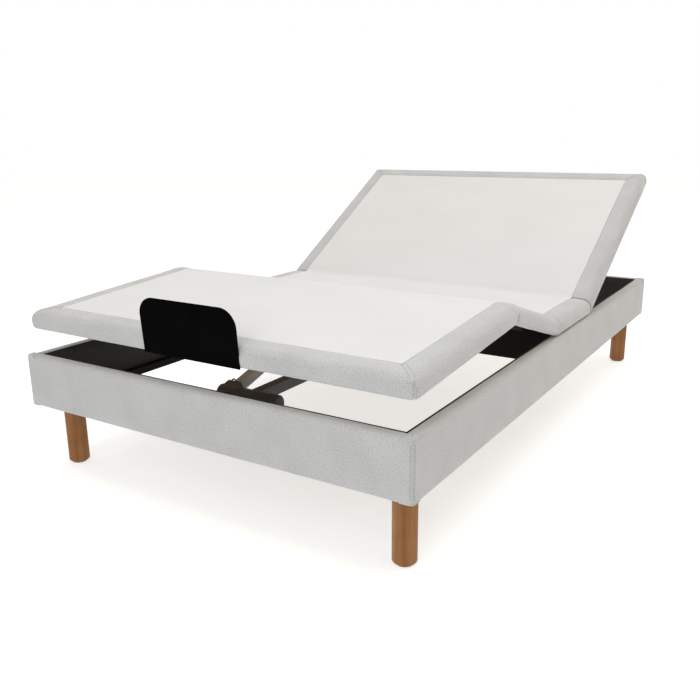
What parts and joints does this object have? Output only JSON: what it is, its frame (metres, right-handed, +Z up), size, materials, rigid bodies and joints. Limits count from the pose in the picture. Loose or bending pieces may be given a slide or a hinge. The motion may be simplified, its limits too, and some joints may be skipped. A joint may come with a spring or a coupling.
{
  "type": "adjustable bed base",
  "caption": "Upholstered box bed base on round wooden legs, with a padded deck whose back and leg sections are lifted by linear actuators, and a foot retainer plate.",
  "frame": {"origin": "on the floor, below the middle of the upholstered box", "axes": "+Z up, +Y toward the head end, +X to the right as seen from the foot end"},
  "size_m": [1.2, 2, 0.7519],
  "materials": {
    "timber": "raw",
    "grey_weave": "soft melange weave",
    "black_lining": "matte nonwoven",
    "bright_steel": "zinc plated",
    "black_plastic": "fine grain",
    "leg_wood": "satin oiled",
    "black_board": "matte black stain",
    "black_steel": "matte powder coat",
    "foam": "open-cell foam",
    "white_cloth": "smooth nonwoven",
    "retainer_black": "matte powder coat"
  },
  "bodies": {
    "box": {"foot_rail": "timber", "head_rail": "timber", "left_rail": "timber", "right_rail": "timber", "foot_rail_cover": "grey_weave", "head_rail_cover": "grey_weave", "left_rail_cover": "grey_weave", "right_rail_cover": "grey_weave", "inner_lining": "black_lining", "corner_blocks": "timber", "leg_bolts": "bright_steel", "leg_glides": "black_plastic", "foot_left_leg": "leg_wood", "foot_right_leg": "leg_wood", "head_left_leg": "leg_wood", "head_right_leg": "leg_wood", "side_ledgers": "black_board", "cross_tubes": "black_steel", "centre_beam": "black_steel", "cross_board": "black_board", "seat_board": "timber", "seat_foam": "foam", "seat_sheet": "white_cloth", "seat_borders": "grey_weave", "seat_channels": "black_steel", "pivot_brackets": "black_steel", "pivot_pins": "bright_steel", "control_box": "black_plastic", "seat_hinge_leaves": "bright_steel", "deck_hinge_pins": "bright_steel"},
    "back_section": {"back_board": "timber", "back_foam": "foam", "back_sheet": "white_cloth", "back_border": "grey_weave", "back_channels": "black_steel", "back_lift_bracket": "black_steel", "back_hinge_leaves": "bright_steel"},
    "thigh_section": {"thigh_board": "timber", "thigh_foam": "foam", "thigh_sheet": "white_cloth", "thigh_borders": "grey_weave", "thigh_channels": "black_steel", "thigh_lift_bracket": "black_steel", "thigh_hinge_leaves": "bright_steel", "knee_hinge_pins": "bright_steel"},
    "leg_section": {"leg_board": "timber", "leg_foam": "foam", "leg_sheet": "white_cloth", "leg_border": "grey_weave", "leg_channels": "black_steel", "leg_prop_bracket": "black_steel", "leg_hinge_leaves": "bright_steel", "retainer_plate": "retainer_black", "retainer_studs": "bright_steel"},
    "prop_arms": {"leg_prop": "black_steel"},
    "foot_actuator": {"foot_actuator_housing": "black_plastic"},
    "foot_rod": {"foot_actuator_rod": "bright_steel"},
    "head_actuator": {"head_actuator_housing": "black_plastic"},
    "head_rod": {"head_actuator_rod": "bright_steel"}
  },
  "joints": [
    {"name": "back_lift", "type": "hinge", "parent": "box", "child": "back_section", "pos_m": [0, 0.2325, 0.37], "axis": [1, 0, 0], "range_deg": [-29.6, 32.4]},
    {"name": "thigh_lift", "type": "hinge", "parent": "box", "child": "thigh_section", "pos_m": [0, -0.0795, 0.37], "axis": [-1, 0, 0], "range_deg": [-17.1, 17.9]},
    {"name": "knee_fold", "type": "hinge", "parent": "thigh_section", "child": "leg_section", "pos_m": [0, -0.42792, 0.45836], "axis": [1, 0, 0], "range_deg": [-21.22, 22.21]},
    {"name": "leg_prop_swing", "type": "hinge", "parent": "box", "child": "prop_arms", "pos_m": [0, -0.51482, 0.31704], "axis": [-1, 0, 0], "range_deg": [-21.66, 22.68]},
    {"name": "foot_actuator_swing", "type": "hinge", "parent": "box", "child": "foot_actuator", "pos_m": [0, -0.8545, 0.246], "axis": [1, 0, 0], "range_deg": [-9.14, 9.57]},
    {"name": "foot_actuator_stroke", "type": "slide", "parent": "foot_actuator", "child": "foot_rod", "axis": [0, 0.9595, 0.2818], "range_m": [-0.0337, 0.03528]},
    {"name": "head_actuator_swing", "type": "hinge", "parent": "box", "child": "head_actuator", "pos_m": [0, -0.1005, 0.246], "axis": [1, 0, 0], "range_deg": [-5.74, 6.28]},
    {"name": "head_actuator_stroke", "type": "slide", "parent": "head_actuator", "child": "head_rod", "axis": [0, 0.9889, 0.1488], "range_m": [-0.03877, 0.04244]}
  ],
  "couplings": [
    {"joint": "knee_fold", "follows": "thigh_lift", "ratio": 1.2398},
    {"joint": "leg_prop_swing", "follows": "thigh_lift", "ratio": 1.2657},
    {"joint": "foot_actuator_swing", "follows": "thigh_lift", "ratio": 0.53351},
    {"joint": "foot_actuator_stroke", "follows": "thigh_lift", "m_per_rad": 0.11286},
    {"joint": "head_actuator_swing", "follows": "back_lift", "ratio": 0.19324},
    {"joint": "head_actuator_stroke", "follows": "back_lift", "m_per_rad": 0.075011}
  ]
}
